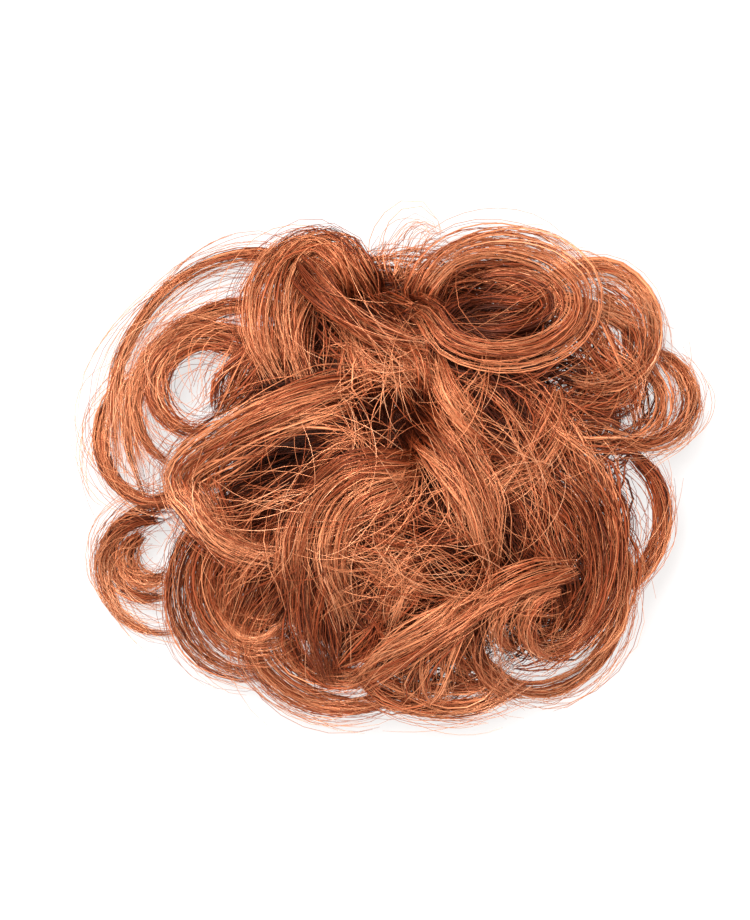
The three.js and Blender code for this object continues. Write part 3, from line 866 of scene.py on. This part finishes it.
def guide_object(name, bundles):
    """One line for each fibre and core, with its radius and its place on the UV map kept at its points."""
    points = []
    edges = []
    cores = []
    kept = {"radius": [], "tone": [], "up": [], "strip": []}
    offset = 0
    for bundle in bundles:
        count, stops = bundle["points"].shape[:2]
        index = offset + np.arange(count * stops).reshape(count, stops)
        offset += count * stops
        points.append(bundle["points"].reshape(-1, 3) * MM)
        edges.append(np.stack([index[:, :-1], index[:, 1:]], axis=2).reshape(-1, 2))
        cores.append(np.full(count * stops, bundle["core"]))
        kept["radius"].append(bundle["radius"].ravel() * MM)
        kept["tone"].append(bundle["tone"].ravel())
        kept["up"].append(0.5 * (bundle["core"] + np.clip(bundle["along"].ravel(), 0.01, 0.99)))
        kept["strip"].append(np.full(count * stops, CORE_STRIP if bundle["core"] else FIBRE_STRIP))
    edges = np.concatenate(edges)
    mesh = bpy.data.meshes.new(name)
    mesh.vertices.add(offset)
    mesh.vertices.foreach_set("co", np.concatenate(points).astype(np.float32).ravel())
    mesh.edges.add(len(edges))
    mesh.edges.foreach_set("vertices", edges.astype(np.int32).ravel())
    for label, values in kept.items():
        layer = mesh.attributes.new("guide_" + label, "FLOAT", "POINT")
        layer.data.foreach_set("value", np.concatenate(values).astype(np.float32))
    layer = mesh.attributes.new("guide_core", "BOOLEAN", "POINT")
    layer.data.foreach_set("value", np.concatenate(cores))
    mesh.update()
    guides = bpy.data.objects.new(name, mesh)
    bpy.context.collection.objects.link(guides)
    return guides


FIBRE_SIDES = 3
CORE_SIDES = 4


def fibre_tree(finish):
    """Sweeps a small round section along every guide line, closes the ends and lays out the UV map."""
    tree = bpy.data.node_groups.new("fibres_on_guides", "GeometryNodeTree")
    tree.interface.new_socket("Guides", in_out="INPUT", socket_type="NodeSocketGeometry")
    fibre_sides = tree.interface.new_socket("Fibre sides", in_out="INPUT", socket_type="NodeSocketInt")
    core_sides = tree.interface.new_socket("Core sides", in_out="INPUT", socket_type="NodeSocketInt")
    tree.interface.new_socket("Fibres", in_out="OUTPUT", socket_type="NodeSocketGeometry")

    def add(kind, settings, sockets):
        node = tree.nodes.new(kind)
        for label, value in settings.items():
            setattr(node, label, value)
        for label, value in sockets.items():
            if isinstance(value, bpy.types.NodeSocket):
                tree.links.new(value, node.inputs[label])
            else:
                node.inputs[label].default_value = value
        return node

    def read(label, kind="FLOAT"):
        node = add("GeometryNodeInputNamedAttribute", {"data_type": kind}, {"Name": label})
        return node.outputs["Attribute"]

    def sweep(guides, sides):
        lines = add("GeometryNodeMeshToCurve", {}, {"Mesh": guides})
        ring = add("GeometryNodeCurvePrimitiveCircle", {}, {"Resolution": sides, "Radius": 1.0})
        around = add("GeometryNodeSplineParameter", {}, {})
        marked = add(
            "GeometryNodeStoreNamedAttribute",
            {"data_type": "FLOAT", "domain": "POINT"},
            {"Geometry": ring.outputs["Curve"], "Name": "guide_around", "Value": around.outputs["Factor"]},
        )
        swept = {"Curve": lines.outputs["Curve"], "Profile Curve": marked.outputs["Geometry"]}
        return add("GeometryNodeCurveToMesh", {}, {**swept, "Scale": read("guide_radius"), "Fill Caps": True})

    entry = add("NodeGroupInput", {}, {})
    cores = {"Geometry": entry.outputs["Guides"], "Selection": read("guide_core", "BOOLEAN")}
    sorted_guides = add("GeometryNodeSeparateGeometry", {"domain": "POINT"}, cores)
    core_tubes = sweep(sorted_guides.outputs["Selection"], entry.outputs["Core sides"])
    fibre_tubes = sweep(sorted_guides.outputs["Inverted"], entry.outputs["Fibre sides"])
    joined = add("GeometryNodeJoinGeometry", {}, {})
    tree.links.new(core_tubes.outputs["Mesh"], joined.inputs["Geometry"])
    tree.links.new(fibre_tubes.outputs["Mesh"], joined.inputs["Geometry"])
    folded = add("ShaderNodeMath", {"operation": "PINGPONG"}, {0: read("guide_around"), 1: 0.5})
    wide = add("ShaderNodeMath", {"operation": "MULTIPLY"}, {0: folded.outputs[0], 1: read("guide_strip")})
    across = add("ShaderNodeMath", {"operation": "ADD"}, {0: read("guide_tone"), 1: wide.outputs[0]})
    flat = add("ShaderNodeCombineXYZ", {}, {"X": across.outputs[0], "Y": read("guide_up")})
    mapped = add(
        "GeometryNodeStoreNamedAttribute",
        {"data_type": "FLOAT2", "domain": "CORNER"},
        {"Geometry": joined.outputs["Geometry"], "Name": "OFBake", "Value": flat.outputs[0]},
    )
    soft = add("GeometryNodeSetShadeSmooth", {}, {"Geometry": mapped.outputs["Geometry"]})
    real = add("GeometryNodeRealizeInstances", {}, {"Geometry": soft.outputs["Geometry"]})
    dressed = add("GeometryNodeSetMaterial", {}, {"Geometry": real.outputs["Geometry"], "Material": finish})
    leave = add("NodeGroupOutput", {}, {})
    tree.links.new(dressed.outputs["Geometry"], leave.inputs["Fibres"])
    return tree, {fibre_sides.identifier: FIBRE_SIDES, core_sides.identifier: CORE_SIDES}


fibres_on_guides, fibre_sizes = fibre_tree(hair_finish())


def fibre_mesh(name, bundles):
    """Turns bundles of fibre lines into one plain mesh of closed fibres."""
    guides = guide_object(name + "_guides", bundles)
    modifier = guides.modifiers.new("fibres", "NODES")
    modifier.node_group = fibres_on_guides
    for identifier, value in fibre_sizes.items():
        modifier[identifier] = value
    bpy.context.view_layer.update()
    shown = guides.evaluated_get(bpy.context.evaluated_depsgraph_get())
    mesh = bpy.data.meshes.new_from_object(shown)
    mesh.name = name
    guides.modifiers.remove(modifier)
    lines = guides.data
    bpy.data.objects.remove(guides)
    bpy.data.meshes.remove(lines)
    for label in ("radius", "tone", "up", "strip", "core", "around"):
        if "guide_" + label in mesh.attributes:
            mesh.attributes.remove(mesh.attributes["guide_" + label])
    return mesh


CHORD_SAG = 0.25  # how far a fibre's straight segments may cut inside a curl
SWEEP_STEP = 7.0
JOINED_STEP = 4.5
JOIN_GAP = 8


def lock_runs(section_name):
    """A section's locks with their stations. A sweep that starts where the last one ended goes on from it."""
    runs = []
    for locks, inner in ((CURLS, False), (INNER_CURLS, True)):
        for lock in locks:
            if lock["section"] == section_name:
                step = math.sqrt(8 * CHORD_SAG * min(lock["radius_x"], lock["radius_y"]))
                runs.append({"lock": lock, "stations": curl_stations(lock), "step": step, "inner": inner})
    for locks, inner in ((SWEEPS, False), (INNER_SWEEPS, True)):
        for lock in locks:
            if lock["section"] == section_name:
                stations = sweep_stations(lock)
                before = runs[-1]
                if np.linalg.norm(stations[0] - before["stations"][-1]) < JOIN_GAP:
                    before["stations"] = np.concatenate([before["stations"], stations[1:]])
                    before["step"] = JOINED_STEP
                else:
                    runs.append({"lock": lock, "stations": stations, "step": SWEEP_STEP, "inner": inner})
    return runs


WISP_FIBRES = 18
WISP_CLUMPS = 7
SKIRT_PLACES = (0.2, 0.8)  # where in its share of the section a skirt may hang
SKIRT_SIZE = (13, 2.5)
SKIRT_FIBRES = 14
SKIRT_CLUMPS = 6
SKIRT_STEP = 6.0
TANGLE_WIDTHS = (8, 18)
TANGLE_THICK = 5
TANGLE_FIBRES = (6, 15)
TANGLE_CLUMPS = 3
TANGLE_STEP = 5.0
STRAYS = 190
STRAY_TURN = 0.3
EDGE_STRAY_TURN = 0.15

for section in SECTIONS:
    dice = np.random.default_rng(section["seed"])
    bundles = []
    paths = []
    edge_paths = []
    for run in lock_runs(section["name"]):
        lock = run["lock"]
        path = smooth_path(run["stations"])
        if lock["thick"] < WISP_THICK:
            size = (lock["width"], lock["thick"])
            bundles += comb_lock(path, size, WISP_FIBRES, WISP_CLUMPS, run["step"], "wisp", dice)
        else:
            bundles += lock_bundles(path, lock, run["step"], run["inner"], section["fullness"], dice)
            paths.append(path)
            if lock["width"] < EDGE_WIDTH:
                edge_paths.append(path)
    for i in range(section["skirts"]):
        share = (i + dice.uniform(*SKIRT_PLACES)) / section["skirts"]
        bearing = math.radians(section["from_deg"] + share * (section["to_deg"] - section["from_deg"]))
        path = skirt_path(bearing, dice)
        bundles += comb_lock(path, SKIRT_SIZE, SKIRT_FIBRES, SKIRT_CLUMPS, SKIRT_STEP, "skirt", dice)
    for _ in range(section["tangles"]):
        path = tangle_path(section, dice)
        size = (dice.uniform(*TANGLE_WIDTHS), TANGLE_THICK)
        count = int(dice.integers(*TANGLE_FIBRES))
        bundles += comb_lock(path, size, count, TANGLE_CLUMPS, TANGLE_STEP, "tangle", dice)
        paths.append(path)
    bundles.append(stray_fibres(paths, STRAYS, STRAY_TURN, dice))
    if edge_paths:
        bundles.append(stray_fibres(edge_paths, STRAYS, EDGE_STRAY_TURN, dice))
    mesh = fibre_mesh(section["name"] + "_fibres", bundles)
    piece = add_piece(section["name"] + "_fibres", mesh)
    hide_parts(section["name"])


# Table, light and camera
# The table is a plain white board that glows faintly, so that it stays white next to the hair.
# A large soft light hangs behind it on the left and a weak one in front on the right, in a bright room.
# The camera looks straight down.
TABLE_HALF = 3.0
TABLE_TOP = -0.0003  # just under the hem
TABLE_COLOUR = (0.10, 0.10, 0.10, 1.0)
TABLE_GLOW_COLOUR = (1.0, 0.96, 0.94, 1.0)
TABLE_GLOW = 0.74
ROOM_COLOUR = (1.0, 1.0, 1.0, 1.0)
ROOM_GLOW = 1.6

corners = [(x * TABLE_HALF, y * TABLE_HALF, TABLE_TOP) for x, y in ((-1, -1), (1, -1), (1, 1), (-1, 1))]
table_mesh = bpy.data.meshes.new("table")
table_mesh.from_pydata(corners, [], [(0, 1, 2, 3)])
table_finish, _, table_shader = new_finish("white_table", 0.6)
table_shader.inputs["Base Color"].default_value = TABLE_COLOUR
table_shader.inputs["Emission Color"].default_value = TABLE_GLOW_COLOUR
table_shader.inputs["Emission Strength"].default_value = TABLE_GLOW
table_mesh.materials.append(table_finish)
table = bpy.data.objects.new("table", table_mesh)
bpy.context.collection.objects.link(table)


def soft_light(name, place, size, power):
    """A round soft light at a place in metres, aimed at the origin."""
    lamp = bpy.data.lights.new(name, "AREA")
    lamp.shape = "DISK"
    lamp.size = size
    lamp.energy = power
    light = bpy.data.objects.new(name, lamp)
    light.location = place
    aim = -light.location
    light.rotation_euler = aim.to_track_quat("-Z", "Y").to_euler()
    bpy.context.collection.objects.link(light)


soft_light("key_light", place=(-0.35, 0.40, 1.2), size=0.7, power=42)
soft_light("fill_light", place=(0.8, -0.4, 1.0), size=0.8, power=6)

room = bpy.data.worlds.new("studio")
room.use_nodes = True
backdrop = room.node_tree.nodes["Background"]
backdrop.inputs["Color"].default_value = ROOM_COLOUR
backdrop.inputs["Strength"].default_value = ROOM_GLOW
bpy.context.scene.world = room
bpy.context.scene.view_settings.view_transform = "Standard"

CAMERA_HEIGHT = 2.0
CAMERA_PLACE = (-0.0063, 0.0036, CAMERA_HEIGHT)
SENSOR_WIDTH = 36
FRAME_HEIGHT = 0.276  # what the image's height shows at the middle of the pile
MIDDLE_OF_PILE = 0.025
lens = bpy.data.cameras.new("camera")
lens.sensor_width = SENSOR_WIDTH
lens.lens = SENSOR_WIDTH * (CAMERA_HEIGHT - MIDDLE_OF_PILE) / FRAME_HEIGHT
camera = bpy.data.objects.new("camera", lens)
camera.location = CAMERA_PLACE
bpy.context.collection.objects.link(camera)
bpy.context.scene.camera = camera

bpy.context.view_layer.update()
